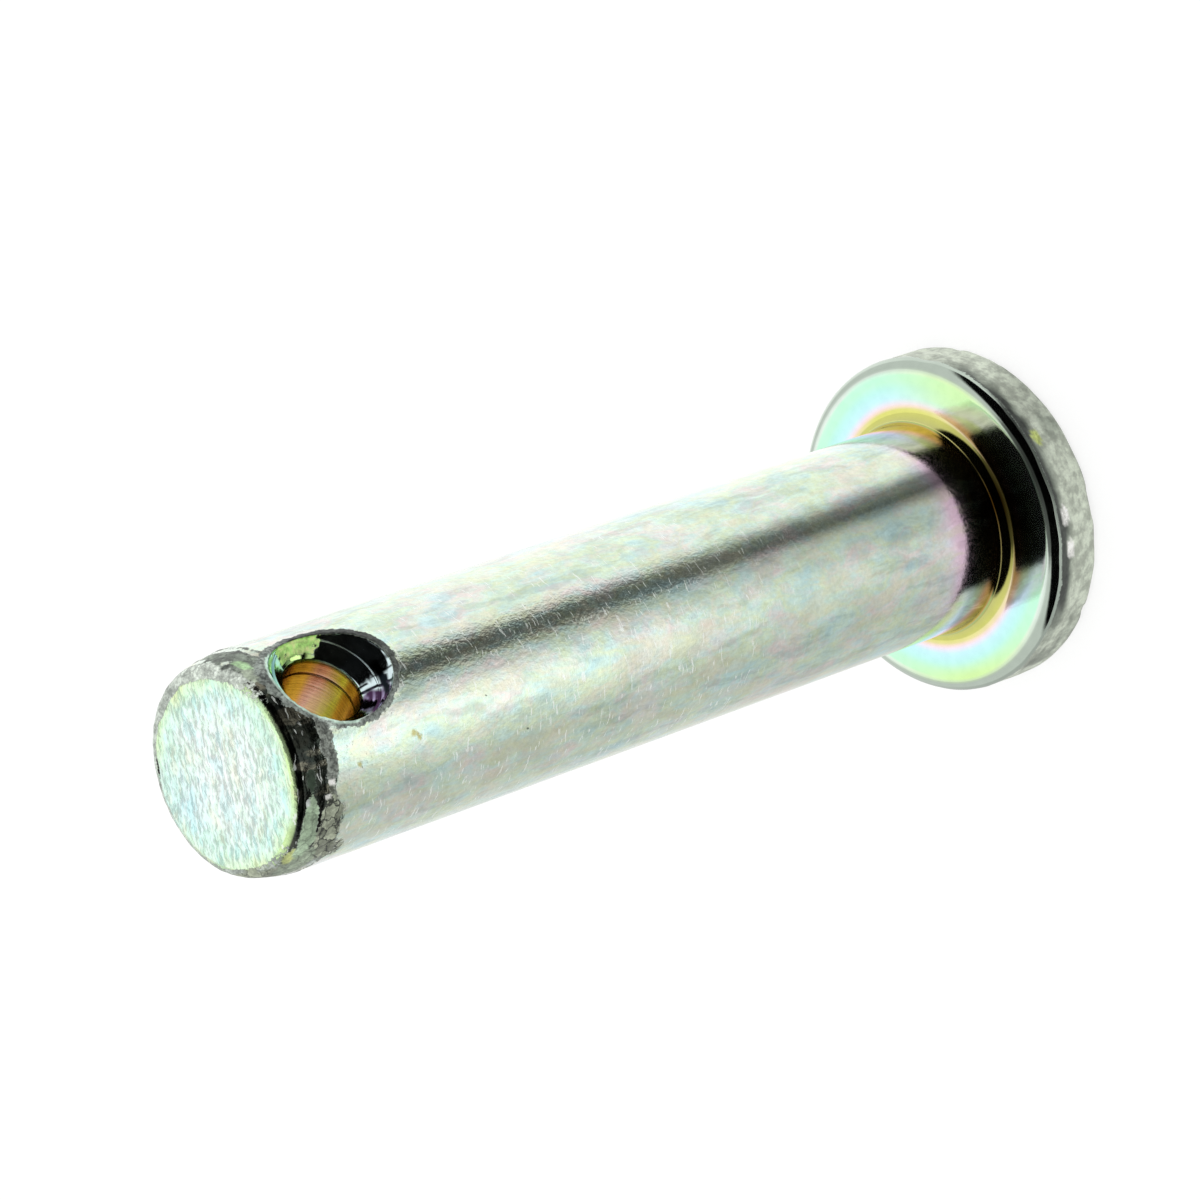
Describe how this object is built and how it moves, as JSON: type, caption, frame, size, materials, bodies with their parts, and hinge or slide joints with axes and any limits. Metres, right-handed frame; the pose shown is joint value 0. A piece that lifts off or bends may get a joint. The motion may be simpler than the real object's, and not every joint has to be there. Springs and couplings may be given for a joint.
{
  "type": "clevis pin",
  "caption": "Headed clevis pin with a pointed end, a flat round head and a cotter hole countersunk from both sides.",
  "frame": {"origin": "centre of the head's outer face, on which the pin stands", "axes": "+Z along the shank towards the pointed end, X along the cotter hole"},
  "size_m": [0.0126, 0.0126, 0.0376],
  "materials": {
    "zinc_plated_steel": "zinc plated steel with a clear, faintly rainbow chromate film"
  },
  "bodies": {
    "root": {"clevis_pin": "zinc_plated_steel"}
  },
  "joints": []
}
